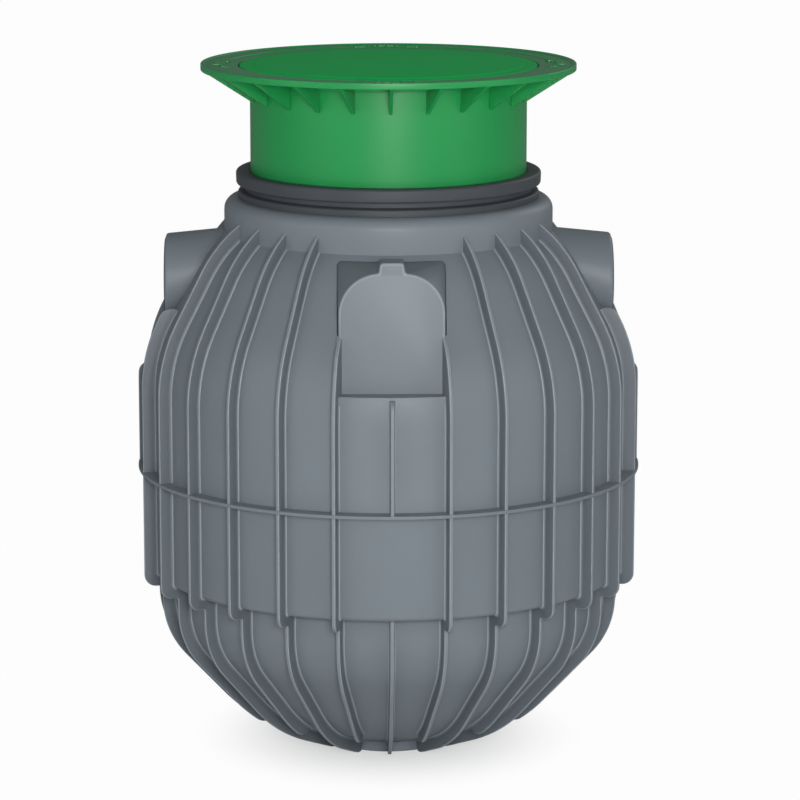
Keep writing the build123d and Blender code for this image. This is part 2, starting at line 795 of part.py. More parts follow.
# lid
lid_radius = frame_mouth_radius - lid_gap
lid_bottom_z = seat_ledge_top_z + lid_seat_gap
with BuildPart() as lid:
    with BuildSketch(Plane.XY.offset(lid_bottom_z)):
        Circle(lid_radius)
    extrude(amount=lid_top_z - lid_ring_drop - lid_bottom_z)
    with BuildSketch(Plane.XY.offset(lid_bottom_z)):
        Circle(lid_disc_radius)
    extrude(amount=lid_top_z - lid_bottom_z)
lid.part.label = "lid"
export_step(lid.part, "parts/lid.step")
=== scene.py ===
import json
import math

import bmesh
import bpy
from mathutils import Matrix, Vector


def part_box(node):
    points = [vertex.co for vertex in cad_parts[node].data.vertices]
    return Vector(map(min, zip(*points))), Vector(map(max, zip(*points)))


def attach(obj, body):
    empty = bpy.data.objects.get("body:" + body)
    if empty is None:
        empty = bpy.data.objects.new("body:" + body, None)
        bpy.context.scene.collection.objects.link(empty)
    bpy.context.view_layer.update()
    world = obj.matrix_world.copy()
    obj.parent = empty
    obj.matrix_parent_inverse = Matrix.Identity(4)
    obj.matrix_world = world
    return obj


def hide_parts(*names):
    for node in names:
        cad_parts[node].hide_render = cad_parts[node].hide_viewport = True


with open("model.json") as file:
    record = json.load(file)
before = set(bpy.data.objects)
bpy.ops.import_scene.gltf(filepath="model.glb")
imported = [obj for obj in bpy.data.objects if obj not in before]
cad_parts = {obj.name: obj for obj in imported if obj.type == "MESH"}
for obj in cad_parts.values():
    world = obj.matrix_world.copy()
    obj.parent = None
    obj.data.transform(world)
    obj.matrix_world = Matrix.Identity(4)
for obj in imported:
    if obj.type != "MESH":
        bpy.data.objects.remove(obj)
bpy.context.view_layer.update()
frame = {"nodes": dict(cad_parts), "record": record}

nodes = frame["nodes"]
print("frame loaded:", len(nodes), "CAD nodes")

# camera: stands 8.2 m off, a little left of the front, looking down on the lid
cameraLook = {"distance": 8.2, "height": 2.485, "tilt": 11.52, "turn": -0.88, "lens": 160.2, "shift": 0.0144}
camera = bpy.data.objects.new("camera", bpy.data.cameras.new("camera"))
bpy.context.scene.collection.objects.link(camera)
cameraTurn = math.radians(cameraLook["turn"])
camera.location = (math.sin(cameraTurn) * cameraLook["distance"],
                   -math.cos(cameraTurn) * cameraLook["distance"], cameraLook["height"])
camera.rotation_euler = (math.radians(90 - cameraLook["tilt"]), 0, cameraTurn)
camera.data.lens = cameraLook["lens"]
camera.data.shift_x = cameraLook["shift"]
camera.data.clip_end = 100
bpy.context.scene.camera = camera


def toObject(bm, name, smoothAngle=32):
    mesh = bpy.data.meshes.new(name)
    bm.to_mesh(mesh)
    bm.free()
    mesh.shade_smooth()
    mesh.set_sharp_from_angle(angle=math.radians(smoothAngle))
    made = bpy.data.objects.new(name, mesh)
    bpy.context.scene.collection.objects.link(made)
    return made


def rounded(corners, segments=4):
    # corners are (r, z) or (r, z, radius); a radius becomes a small arc
    points = []
    count = len(corners)
    for index, corner in enumerate(corners):
        here = Vector(corner[:2])
        radius = corner[2] if len(corner) > 2 else 0
        if not radius:
            points.append(here)
            continue
        before = (Vector(corners[index - 1][:2]) - here).normalized()
        after = (Vector(corners[(index + 1) % count][:2]) - here).normalized()
        half = before.angle(after) / 2
        reach = radius / math.tan(half)
        centre = here + (before + after).normalized() * (radius / math.sin(half))
        start, end = here + before * reach - centre, here + after * reach - centre
        sweep = start.angle_signed(end)
        for step in range(segments + 1):
            points.append(centre + Matrix.Rotation(-sweep * step / segments, 2) @ start)
    return points


def spunMesh(outline, closed=True, steps=168, centre=(0, 0, 0)):
    bm = bmesh.new()
    verts = [bm.verts.new((r, 0, z)) for r, z in outline]
    ends = verts[1:] + verts[:1] if closed else verts[1:]
    edges = [bm.edges.new(pair) for pair in zip(verts, ends)]
    bmesh.ops.spin(bm, geom=verts + edges, cent=(0, 0, 0), axis=(0, 0, 1), dvec=(0, 0, 0),
                   angle=math.tau, steps=steps, use_merge=True, use_duplicate=False)
    bmesh.ops.remove_doubles(bm, verts=bm.verts, dist=1e-6)
    bmesh.ops.dissolve_degenerate(bm, edges=bm.edges, dist=1e-6)
    bmesh.ops.recalc_face_normals(bm, faces=bm.faces)
    bmesh.ops.translate(bm, verts=bm.verts, vec=centre)
    return bm


def loftRings(bm, rings):
    # the first ring is drawn, then extruded to each next one
    verts = [bm.verts.new(point) for point in rings[0]]
    edges = [bm.edges.new(pair) for pair in zip(verts, verts[1:] + verts[:1])]
    bmesh.ops.contextual_create(bm, geom=edges)
    for ring in rings[1:]:
        fresh = bmesh.ops.extrude_edge_only(bm, edges=edges)["geom"]
        newVerts = {item for item in fresh if isinstance(item, bmesh.types.BMVert)}
        edges = [item for item in fresh if isinstance(item, bmesh.types.BMEdge)]
        verts = [next(edge.other_vert(vert) for edge in vert.link_edges
                      if edge.other_vert(vert) in newVerts) for vert in verts]
        for vert, point in zip(verts, ring):
            vert.co = point
    bmesh.ops.contextual_create(bm, geom=edges)
    return verts


def extrudedMesh(outline, low, high):
    # outline in x and z, pulled along y
    bm = bmesh.new()
    face = bm.faces.new([bm.verts.new((x, low, z)) for x, z in outline])
    top = bmesh.ops.extrude_face_region(bm, geom=[face])["geom"]
    moved = [item for item in top if isinstance(item, bmesh.types.BMVert)]
    bmesh.ops.translate(bm, verts=moved, vec=(0, high - low, 0))
    bmesh.ops.recalc_face_normals(bm, faces=bm.faces)
    return bm


def joinInto(target, source):
    # copies source's mesh into target, then frees source
    mesh = bpy.data.meshes.new("joined")
    source.to_mesh(mesh)
    source.free()
    target.from_mesh(mesh)
    bpy.data.meshes.remove(mesh)


def mirrored(bm, axis):
    copy = bmesh.ops.duplicate(bm, geom=bm.verts[:] + bm.edges[:] + bm.faces[:])["geom"]
    verts = [item for item in copy if isinstance(item, bmesh.types.BMVert)]
    faces = [item for item in copy if isinstance(item, bmesh.types.BMFace)]
    bmesh.ops.scale(bm, verts=verts, vec=[-1 if axis == i else 1 for i in range(3)])
    bmesh.ops.reverse_faces(bm, faces=faces)


def cut(target, bm, operation="DIFFERENCE"):
    cutter = toObject(bm, "cutter")
    step = target.modifiers.new("cut", "BOOLEAN")
    step.operation = operation
    step.solver = "EXACT"
    step.object = cutter
    depsgraph = bpy.context.evaluated_depsgraph_get()
    result = bpy.data.meshes.new_from_object(target.evaluated_get(depsgraph))
    target.modifiers.clear()
    target.data = result
    bpy.data.objects.remove(cutter)


def place(piece, body, material, slot, *replaced):
    piece.data.materials.clear()
    piece.data.materials.append(material)
    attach(piece, body)
    if replaced:
        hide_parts(*replaced)
    return piece


def addNode(tree, kind, **settings):
    node = tree.nodes.new(kind)
    for key, value in settings.items():
        node.inputs[key].default_value = value
    return node


mouldLook = {"cloudFrom": 0.3, "cloudTo": 0.7, "glossSpread": 0.05, "bumpDepth": 0.0006}


def moulded(name, look):
    # moulded plastic or rubber: soft clouds, fine grain, and where the look gives them, painted highlights
    # along edges and painted shade on rib sides
    material = bpy.data.materials.new(name)
    material.use_nodes = True
    tree = material.node_tree
    link = tree.links.new
    shader = tree.nodes["Principled BSDF"]
    spot = tree.nodes.new("ShaderNodeTexCoord").outputs["Object"]

    cloud = addNode(tree, "ShaderNodeTexNoise", Scale=look["cloudScale"], Detail=4)
    link(spot, cloud.inputs["Vector"])
    speck = addNode(tree, "ShaderNodeTexNoise", Scale=look["speckScale"], Detail=2)
    link(spot, speck.inputs["Vector"])
    tint = tree.nodes.new("ShaderNodeValToRGB")
    tint.color_ramp.elements[0].position = mouldLook["cloudFrom"]
    tint.color_ramp.elements[0].color = (*[c * (1 - look["cloudDepth"]) for c in look["colour"]], 1)
    tint.color_ramp.elements[1].position = mouldLook["cloudTo"]
    tint.color_ramp.elements[1].color = (*[c * (1 + look["cloudDepth"]) for c in look["colour"]], 1)
    link(cloud.outputs["Fac"], tint.inputs["Fac"])
    colour = tint.outputs["Color"]

    fleck = tree.nodes.new("ShaderNodeMix")
    fleck.data_type = "RGBA"
    fleck.blend_type = "OVERLAY"
    fleck.inputs["Factor"].default_value = look["speckDepth"]
    link(colour, fleck.inputs["A"])
    bare = tree.nodes.new("ShaderNodeRGBToBW")
    link(speck.outputs["Color"], bare.inputs["Color"])
    link(bare.outputs["Val"], fleck.inputs["B"])
    colour = fleck.outputs["Result"]

    # painted highlight along rib and rim edges, then painted shade on rib sides, mixed into the colour from
    # values stored on the mesh
    for attribute, tone in (("paintedEdgeHighlight", look.get("paintedHighlightColour")), ("paintedRibShade", look.get("paintedShadeColour"))):
        if not tone:
            continue
        mark = tree.nodes.new("ShaderNodeAttribute")
        mark.attribute_name = attribute
        toned = tree.nodes.new("ShaderNodeMix")
        toned.data_type = "RGBA"
        link(mark.outputs["Fac"], toned.inputs["Factor"])
        link(colour, toned.inputs["A"])
        toned.inputs["B"].default_value = (*tone, 1)
        colour = toned.outputs["Result"]
    link(colour, shader.inputs["Base Color"])

    gloss = addNode(tree, "ShaderNodeMapRange")
    gloss.inputs["To Min"].default_value = look["roughness"] - mouldLook["glossSpread"]
    gloss.inputs["To Max"].default_value = look["roughness"] + mouldLook["glossSpread"]
    link(cloud.outputs["Fac"], gloss.inputs["Value"])
    link(gloss.outputs["Result"], shader.inputs["Roughness"])

    grain = addNode(tree, "ShaderNodeTexNoise", Scale=look["grainScale"], Detail=3)
    link(spot, grain.inputs["Vector"])
    relief = addNode(tree, "ShaderNodeBump", Strength=look["grain"], Distance=mouldLook["bumpDepth"])
    link(grain.outputs["Fac"], relief.inputs["Height"])
    link(relief.outputs["Normal"], shader.inputs["Normal"])
    shader.inputs["Specular IOR Level"].default_value = look["shine"]
    return material


# the tank's own colour, a lighter colour for painted highlights along edges and a darker one for painted
# shade on rib sides
tankLook = {"colour": (0.160, 0.186, 0.207), "paintedHighlightColour": (0.29, 0.33, 0.36),
            "paintedShadeColour": (0.112, 0.131, 0.147), "cloudScale": 2.6, "cloudDepth": 0.04, "speckScale": 900,
            "speckDepth": 0.06, "roughness": 0.48, "grainScale": 420, "grain": 0.12, "shine": 0.4}
greenLook = {"colour": (0.012, 0.265, 0.064), "cloudScale": 2.2, "cloudDepth": 0.04, "speckScale": 1100,
             "speckDepth": 0.05, "roughness": 0.40, "grainScale": 520, "grain": 0.08, "shine": 0.35}
lidLook = {**greenLook, "colour": (0.008, 0.500, 0.100), "roughness": 0.5, "shine": 0.03}
rubberLook = {"colour": (0.048, 0.055, 0.062), "cloudScale": 6, "cloudDepth": 0.08, "speckScale": 1500,
              "speckDepth": 0.08, "roughness": 0.55, "grainScale": 900, "grain": 0.15, "shine": 0.35}
pipeLook = {"colour": (0.012, 0.19, 0.07), "cloudScale": 5, "cloudDepth": 0.05, "speckScale": 1400,
            "speckDepth": 0.04, "roughness": 0.22, "grainScale": 700, "grain": 0.04, "shine": 0.5}
trapLook = {**pipeLook, "colour": (0.005, 0.33, 0.90), "roughness": 0.25}
floatLook = {**pipeLook, "colour": (0.36, 0.42, 0.50), "roughness": 0.3}
stayLook = {**pipeLook, "colour": (0.72, 0.76, 0.80), "roughness": 0.35}
tankPlastic = moulded("tankPlastic", tankLook)
riserPlastic = moulded("riserPlastic", greenLook)
lidPlastic = moulded("lidPlastic", lidLook)
sealRubber = moulded("sealRubber", rubberLook)
pipePlastic = moulded("pipePlastic", pipeLook)
trapPlastic = moulded("trapPlastic", trapLook)
floatPlastic = moulded("floatPlastic", floatLook)
stayPlastic = moulded("stayPlastic", stayLook)

wireLook = {"dark": (0.36, 0.36, 0.35), "light": (0.56, 0.56, 0.55), "noiseScale": 300, "roughness": 0.35}
wireSteel = bpy.data.materials.new("wireSteel")
wireSteel.use_nodes = True
wireTree = wireSteel.node_tree
wireShader = wireTree.nodes["Principled BSDF"]
wireShader.inputs["Metallic"].default_value = 1
wireNoise = addNode(wireTree, "ShaderNodeTexNoise", Scale=wireLook["noiseScale"], Detail=2)
wireTree.links.new(wireTree.nodes.new("ShaderNodeTexCoord").outputs["Object"], wireNoise.inputs["Vector"])
wireTint = wireTree.nodes.new("ShaderNodeValToRGB")
wireTint.color_ramp.elements[0].color = (*wireLook["dark"], 1)
wireTint.color_ramp.elements[1].color = (*wireLook["light"], 1)
wireTree.links.new(wireNoise.outputs["Fac"], wireTint.inputs["Fac"])
wireTree.links.new(wireTint.outputs["Color"], wireShader.inputs["Base Color"])
wireShader.inputs["Roughness"].default_value = wireLook["roughness"]
print("materials made")

# the tank's form lines follow the rib tips, in metres
tank = {"radius": 0.586, "ribHeight": 0.030, "wall": 0.009, "girthZ": 0.6675, "girthReach": 0.588,
        "girthHalf": 0.004, "girthRound": 0.0015, "girthFoot": 0.002, "barrelTop": 0.76, "ribs": 28,
        "domeZ": 0.865, "lowArc": 0.361, "slope": 29.6, "straight": 0.126, "highArc": 0.312, "highTurn": 60,
        "domeStep": 0.018, "neckRadius": 0.3815, "neckWall": 0.010, "neckTopZ": 1.300, "neckRound": 0.028,
        "mouth": 0.346, "stepZ": 0.398, "stepRise": 0.024, "stepRound": 0.027, "bowlRadius": 0.543,
        "bowlZ": 0.365, "bowlHighArc": 0.200, "bowlSlope": 42.5, "bowlStraight": 0.137, "bowlLowArc": 0.388,
        "bowlStep": 0.014, "footSlope": 69, "footStraight": 0.4, "footRadius": 0.155, "footRound": 0.004}


def turnedBy(vector, angle):
    c, s = math.cos(angle), math.sin(angle)
    return Vector((vector.x * c - vector.y * s, vector.x * s + vector.y * c))


def alongRuns(start, heading, runs, distance):
    # walks straights (length, 0) and arcs (radius, degrees) and gives place and heading
    spot, angle = Vector(start), heading
    for size, degrees in runs:
        length = size * math.radians(abs(degrees)) if degrees else size
        walked = min(distance, length)
        if degrees:
            side = math.copysign(1, degrees)
            arm = Vector((-math.sin(angle), math.cos(angle))) * side * size
            spot = spot + arm - turnedBy(arm, side * walked / size)
            angle += side * walked / size
        else:
            spot = spot + Vector((math.cos(angle), math.sin(angle))) * walked
        distance -= walked
        if distance <= 1e-9:
            break
    return spot, angle


def domeTip(distance):
    # up from the girth; the outward normal is to the right of the way up
    runs = [(tank["domeZ"] - tank["girthZ"], 0), (tank["lowArc"], tank["slope"]), (tank["straight"], 0),
            (tank["highArc"], tank["highTurn"])]
    point, angle = alongRuns((tank["radius"], tank["girthZ"]), math.pi / 2, runs, distance)
    return point, Vector((math.sin(angle), -math.cos(angle)))


def bowlTip(distance):
    # down from the bowl's widest point; the outward normal is to the left of the way down
    runs = [(tank["bowlHighArc"], -tank["bowlSlope"]), (tank["bowlStraight"], 0),
            (tank["bowlLowArc"], tank["bowlSlope"] - tank["footSlope"]), (tank["footStraight"], 0)]
    point, angle = alongRuns((tank["bowlRadius"], tank["bowlZ"]), -math.pi / 2, runs, distance)
    return point, Vector((-math.sin(angle), math.cos(angle)))


def lineAtDepth(tip, depth, first, step, radius):
    # points of a form line at a depth inside the rib tips, ending exactly at a radius
    points, distance = [], first
    while True:
        point, normal = tip(distance)
        point = point - normal * depth
        if point.x < radius:
            share = (points[-1].x - radius) / (points[-1].x - point.x)
            return points + [points[-1].lerp(point, share)]
        points.append(point)
        distance += step


def domeLine(depth, neck):
    return lineAtDepth(domeTip, depth, tank["domeZ"] - tank["girthZ"], tank["domeStep"], neck)


def bowlLine(depth, foot):
    return lineAtDepth(bowlTip, depth, 0, tank["bowlStep"], foot)


# ribs; beside a plate their roots go down behind the plate's face
ribLook = {"half": 0.00425, "tipRound": 0.0024, "flare": 0.0060, "rise": 0.0070, "sink": 0.0020,
           "lowest": 0.0004, "deepZ": 0.915, "deepRadius": 0.508, "longStep": 0.04, "longUntil": 0.16,
           "evenStep": 0.013, "fineStep": 0.004, "fineMargin": 0.01, "smooth": 50}
# heights and radii where the short ribs end, and the length over which they round off
shortTop = {"front": 0.930, "side": 0.912, "flank": 1.065, "shoulder": 0.027,
            "plate": 1.061, "plateShoulder": 0.050}
shortLow = {"radius": 0.300, "blunt": 0.028, "bowlLevels": (0.4215, 0.400, 0.380), "footGap": 0.004}


def ribRing(root, tip, angle):
    # one cross-section of a rib: flared root, flat sides, rounded tip
    out = tip - root
    height = max(out.length, 1e-4)
    out = out / height
    squeeze = min(1, height / (ribLook["rise"] + ribLook["tipRound"] + 0.001))
    half, flare = ribLook["half"], ribLook["flare"]
    rise, tipRound = ribLook["rise"] * squeeze, ribLook["tipRound"] * squeeze
    side = [(half + flare, -ribLook["sink"]), (half + flare * 0.5, 0.0008),
            (half + flare * 0.16, rise * 0.38), (half, rise), (half, height - tipRound),
            (half - tipRound * 0.3, height - tipRound * 0.3), (half - tipRound, height)]
    section = side + [(-u, h) for u, h in reversed(side)]
    c, s = math.cos(angle), math.sin(angle)
    ring = []
    for u, h in section:
        r, z = root + out * h
        ring.append((r * c - u * s, r * s + u * c, z))
    return ring


# from a rib's root to its tip: painted highlight along the flare and the tip, painted shade on the flat side
ribPaintedLight = {"paintedEdgeHighlight": [0.15, 1.0, 0.40, 0.0, 0.10, 1.0, 0.25],
            "paintedRibShade": [0.0, 0.0, 0.65, 1.0, 0.85, 0.0, 0.0]}


def addRib(bm, stations, angle):
    layers = bm.verts.layers.float
    marks = {name: layers.get(name) or layers.new(name) for name in ribPaintedLight}
    already = len(bm.verts)
    loftRings(bm, [ribRing(root, tip, angle) for root, tip in stations])
    bm.verts.ensure_lookup_table()
    # each ring vertex gets its painted highlight and painted shade value
    for name, values in ribPaintedLight.items():
        pattern = values + values[::-1]
        for index in range(already, len(bm.verts)):
            bm.verts[index][marks[name]] = pattern[(index - already) % len(pattern)]
    for vert in bm.verts[already:]:
        vert.co.z = max(vert.co.z, ribLook["lowest"])


def plateRibStations(endZ, shoulder):
    stations, distance = [], 0.0
    while True:
        tip, normal = domeTip(distance)
        if tip.y > endZ:
            return stations
        root = tip - normal * tank["ribHeight"]
        if tip.y > ribLook["deepZ"]:
            root = Vector((ribLook["deepRadius"], tip.y))
        late = max(0.0, (tip.y - endZ + shoulder) / shoulder)
        stations.append((root, root.lerp(tip, math.sqrt(max(0.0, 1 - late ** 2)))))
        fine = tip.y > endZ - shoulder - ribLook["fineMargin"]
        distance += ribLook["fineStep"] if fine else ribLook["evenStep"]


def domeStations(endZ=None):
    # endZ: height where a short rib's curved shoulder sinks into the dome
    stations, distance = [], 0.0
    height, shoulder = tank["ribHeight"], shortTop["shoulder"]
    while True:
        tip, normal = domeTip(distance)
        if endZ and tip.y > endZ:
            return stations
        if tip.x < tank["neckRadius"] - 0.008:
            return stations
        reach = height
        if endZ and tip.y > endZ - shoulder:
            reach = height * math.sqrt(max(0.0, 1 - ((tip.y - endZ + shoulder) / shoulder) ** 2))
        root = tip - normal * height
        stations.append((root, root + normal * reach))
        if distance < ribLook["longUntil"]:
            distance += ribLook["longStep"]
        elif endZ and tip.y > endZ - shoulder - ribLook["fineMargin"]:
            distance += ribLook["fineStep"]
        else:
            distance += ribLook["evenStep"]


def stepStations():
    # barrel below the girth, then the step's round and its underside
    outer, inner = tank["radius"], tank["radius"] - tank["ribHeight"]
    tipCorner, rootCorner = tank["stepRound"], tank["wall"]
    shelf = tank["stepZ"] + tank["stepRise"]
    barrelLevels, roundSteps = (tank["girthZ"], 0.60, 0.53, 0.47), 6
    stations = [(Vector((inner, z)), Vector((outer, z))) for z in barrelLevels]
    for step in range(roundSteps + 1):
        turned = math.radians(90 * step / roundSteps)
        c, s = math.cos(turned), math.sin(turned)
        root = Vector((inner - rootCorner + rootCorner * c, shelf + rootCorner - rootCorner * s))
        tip = Vector((outer - tipCorner + tipCorner * c, tank["stepZ"] + tipCorner - tipCorner * s))
        stations.append((root, tip))
    rootX, tipX = tank["bowlRadius"] - tank["ribHeight"], tank["bowlRadius"]
    stations += [(Vector((rootX + 0.008, shelf)), Vector((tipX + 0.004, tank["stepZ"]))),
                 (Vector((rootX, shelf - 0.004)), Vector((tipX, tank["stepZ"] - 0.003))),
                 (Vector((rootX, shelf - 0.022)), Vector((tipX, tank["stepZ"] - 0.012)))]
    return stations


def bowlStations(endX, blunt):
    # down the bowl, to the foot's side or to a rounded end
    stations, distance = [], 0.0
    height = tank["ribHeight"]
    while True:
        tip, normal = bowlTip(distance)
        root = tip - normal * height
        if root.x < endX:
            return stations
        reach = height
        if blunt and root.x < endX + blunt:
            reach = height * math.sqrt(max(0.0, 1 - ((endX + blunt - root.x) / blunt) ** 2))
        stations.append((root, root + normal * reach))
        fine = blunt and root.x < endX + blunt + ribLook["fineMargin"]
        distance += ribLook["fineStep"] if fine else ribLook["evenStep"]


ribCount, quarter, halfTurn = tank["ribs"], tank["ribs"] // 4, tank["ribs"] // 2
ribAngle = [math.radians(-90 + index * 360 / ribCount) for index in range(ribCount)]

upperRibBm = bmesh.new()
for index in range(ribCount):
    fromSide = abs(index % halfTurn - quarter)
    if fromSide == quarter:
        stations = domeStations(shortTop["front"])
    elif fromSide == 0:
        stations = domeStations(shortTop["side"])
    elif fromSide == 1:
        stations = domeStations(shortTop["flank"])
    elif fromSide == quarter - 1:
        stations = plateRibStations(shortTop["plate"], shortTop["plateShoulder"])
    else:
        stations = domeStations()
    addRib(upperRibBm, stations, ribAngle[index])
bmesh.ops.recalc_face_normals(upperRibBm, faces=upperRibBm.faces)
upperRibs = toObject(upperRibBm, "upperRibs", ribLook["smooth"])

# every second rib runs down to the foot; front, back and side ribs start under the step
lowerRibBm = bmesh.new()
bowlRoot, bowlTipX = tank["bowlRadius"] - tank["ribHeight"], tank["bowlRadius"]
for index in range(ribCount):
    if index % quarter == 0:
        start = [(Vector((bowlRoot, z)), Vector((bowlTipX, z))) for z in shortLow["bowlLevels"]]
    else:
        start = stepStations()
    if index % 2 == 0:
        end = bowlStations(tank["footRadius"] - shortLow["footGap"], 0)
    else:
        end = bowlStations(shortLow["radius"], shortLow["blunt"])
    addRib(lowerRibBm, start + end, ribAngle[index])
bmesh.ops.recalc_face_normals(lowerRibBm, faces=lowerRibBm.faces)
lowerRibs = toObject(lowerRibBm, "lowerRibs", ribLook["smooth"])
print("ribs lofted")

# upper shell with its pockets and pipe bosses
pocket = {"half": 0.121, "low": 0.930, "top": 1.207, "depth": 0.368, "corner": 0.012, "past": 0.7}
boss = {"reach": 0.518, "radius": 0.1045, "z": 1.106, "rootX": 0.372, "rootRadius": 0.084, "rootTop": 1.225,
        "round": 0.007, "roundSteps": 5, "around": 96, "hole": 0.0937, "holeDepth": 0.0142, "holeEnd": 0.54,
        "channel": 0.0885, "channelEnd": 0.51}
field, wall = tank["ribHeight"], tank["wall"]
inside = field + wall


def boxMesh(half, low, high, near, far):
    bm = bmesh.new()
    bmesh.ops.create_cube(bm, size=1)
    bmesh.ops.scale(bm, verts=bm.verts, vec=(2 * half, far - near, high - low))
    bmesh.ops.translate(bm, verts=bm.verts, vec=(0, -(near + far) / 2, (low + high) / 2))
    return bm


def ringAcross(x, radius, height):
    turns = [math.tau * index / boss["around"] for index in range(boss["around"])]
    return [(x, radius * math.cos(a), height + radius * math.sin(a)) for a in turns]


def bossMesh(inset, rings):
    # rings of (x, how much smaller the radius is there), on both sides of the tank
    bm = bmesh.new()
    rootZ = boss["rootTop"] - boss["rootRadius"]
    circles = []
    for x, shrink in rings:
        inward = (boss["reach"] - x) / (boss["reach"] - boss["rootX"])
        radius = boss["radius"] + (boss["rootRadius"] - boss["radius"]) * inward - shrink - inset
        circles.append(ringAcross(x, radius, boss["z"] + (rootZ - boss["z"]) * inward))
    loftRings(bm, circles)
    bmesh.ops.recalc_face_normals(bm, faces=bm.faces)
    mirrored(bm, 0)
    return bm


def tubeAcross(radius, low, high, height):
    bm = bmesh.new()
    loftRings(bm, [ringAcross(x, radius, height) for x in (low, high)])
    bmesh.ops.recalc_face_normals(bm, faces=bm.faces)
    return bm


neckTop, neckR, neckBore = tank["neckTopZ"], tank["neckRadius"], tank["neckRadius"] - tank["neckWall"]
barrel, lining = tank["radius"] - field, tank["radius"] - inside
girthTopZ = tank["girthZ"] + tank["girthHalf"]
girthTop = [(tank["girthReach"], tank["girthZ"]), (tank["girthReach"], girthTopZ, tank["girthRound"]),
            (barrel, girthTopZ, tank["girthFoot"])]
outerLine = rounded([(0, tank["girthZ"])] + girthTop + [(barrel, tank["barrelTop"])])
outerLine += domeLine(field, neckR)
outerLine += rounded([(neckR, 1.26), (neckR, neckTop, tank["neckRound"]), (0, neckTop)], 8)
upperShell = toObject(spunMesh(outerLine, closed=False), "upperShell")

cavityLow, cavityTop = tank["girthZ"] - 0.01, neckTop + 0.02
cavityLine = [Vector((0, cavityLow)), Vector((lining, cavityLow)), Vector((lining, tank["barrelTop"]))]
cavityLine += domeLine(inside, neckBore)
cavityLine += rounded([(neckBore, 1.25), (neckBore, neckTop - wall, 0.01), (tank["mouth"], neckTop - wall),
                       (tank["mouth"], cavityTop), (0, cavityTop)])
cavity = toObject(spunMesh(cavityLine, closed=False), "cavity")
liner = boxMesh(pocket["half"] + wall, pocket["low"] - wall, pocket["top"] + wall, pocket["depth"] - wall,
                pocket["past"])
mirrored(liner, 1)
cut(cavity, liner)

bossRound = boss["round"]
bossRings = [(boss["reach"], bossRound)]
for step in range(1, boss["roundSteps"] + 1):
    turned = math.radians(90 * step / boss["roundSteps"])
    bossRings.append((boss["reach"] - bossRound * (1 - math.cos(turned)), bossRound * (1 - math.sin(turned))))
bossRings.append((boss["rootX"], 0))
cut(upperShell, bossMesh(0, bossRings), "UNION")
pocketBox = boxMesh(pocket["half"], pocket["low"], pocket["top"], pocket["depth"], pocket["past"])
topCorners = [edge for edge in pocketBox.edges
              if abs(edge.verts[0].co.y - edge.verts[1].co.y) > 0.1 and edge.verts[0].co.z > boss["z"]]
bmesh.ops.bevel(pocketBox, geom=topCorners, offset=pocket["corner"], affect="EDGES", segments=5, profile=0.5,
                material=-1)
mirrored(pocketBox, 1)
cut(upperShell, pocketBox)
cavityBm = bmesh.new()
cavityBm.from_mesh(cavity.data)
bpy.data.objects.remove(cavity)
cut(upperShell, cavityBm)
cut(upperShell, bossMesh(wall, [(boss["reach"] - wall, 0), (boss["rootX"], 0)]))
cut(upperShell, tubeAcross(boss["channel"], -boss["channelEnd"], boss["channelEnd"], boss["z"]))
holeStart = boss["reach"] - boss["holeDepth"]
cut(upperShell, tubeAcross(boss["hole"], holeStart, boss["holeEnd"], boss["z"]))
cut(upperShell, tubeAcross(boss["hole"], -boss["holeEnd"], -holeStart, boss["z"]))
print("upper shell cut")

# soften the pockets' rims
rimLook = {"sharpest": 28, "near": 0.0005, "past": 0.012, "fromY": 0.37, "offset": 0.0028, "smooth": 30}
rimBm = bmesh.new()
rimBm.from_mesh(upperShell.data)
rimEdges = []
for edge in rimBm.edges:
    if len(edge.link_faces) != 2 or edge.calc_face_angle() < math.radians(rimLook["sharpest"]):
        continue
    middle = (edge.verts[0].co + edge.verts[1].co) / 2
    outside = math.hypot(middle.x, middle.y) > pocket["depth"] + rimLook["past"]
    onSide = abs(abs(middle.x) - pocket["half"]) < rimLook["near"] and abs(middle.y) > rimLook["fromY"]
    offLevel = min(abs(middle.z - pocket["low"]), abs(middle.z - pocket["top"]))
    onLevel = offLevel < rimLook["near"] and abs(middle.x) < pocket["half"]
    if outside and edge.is_convex and (onSide or onLevel):
        rimEdges.append(edge)
bmesh.ops.bevel(rimBm, geom=rimEdges, offset=rimLook["offset"], affect="EDGES", segments=3, profile=0.5,
                material=-1, clamp_overlap=True)
rimBm.to_mesh(upperShell.data)
rimBm.free()
upperShell.data.shade_smooth()
upperShell.data.set_sharp_from_angle(angle=math.radians(rimLook["smooth"]))

# arched plates in the pockets, front and back: the arch at the front slopes back to a rectangle
plate = {"half": 0.1177, "low": 0.925, "top": 1.199, "corner": 0.092, "front": 0.505, "tabFoot": 0.029,
         "tabHalf": 0.026, "tabTop": 1.222, "tabRound": 0.009, "footRound": 0.006, "rim": 0.006,
         "rimSteps": 4, "rimLowest": 1.062, "baseHalf": 0.1205, "baseTop": 1.2065, "baseCorner": 0.012,
         "baseTabTop": 1.2125, "baseSink": 0.003, "baseStep": 0.001, "backGap": 0.004, "smooth": 40}
shellLine = sorted(domeLine(field, neckR), key=lambda point: point.y)


def shellRadius(height):
    for low, high in zip(shellLine, shellLine[1:]):
        if low.y <= height <= high.y:
            return low.lerp(high, (height - low.y) / (high.y - low.y)).x
    return tank["radius"] - field if height < shellLine[0].y else neckR


def plateOutline(half, top, corner, tabTop, inset):
    foot, tabHalf, tabRound = plate["tabFoot"] - inset, plate["tabHalf"] - inset, plate["tabRound"] - inset
    half, top, corner, tabTop = half - inset, top - inset, corner - inset, tabTop - inset
    rightSide = [(half, plate["low"]), (half, top, corner),
                 (foot, top, min(plate["footRound"], (tabTop - top) / 3)),
                 (tabHalf, tabTop, min(tabRound, (tabTop - top) / 2))]
    leftSide = [(-corner[0], *corner[1:]) for corner in reversed(rightSide)]
    return rounded(leftSide[-1:] + rightSide + leftSide[:-1], 10)


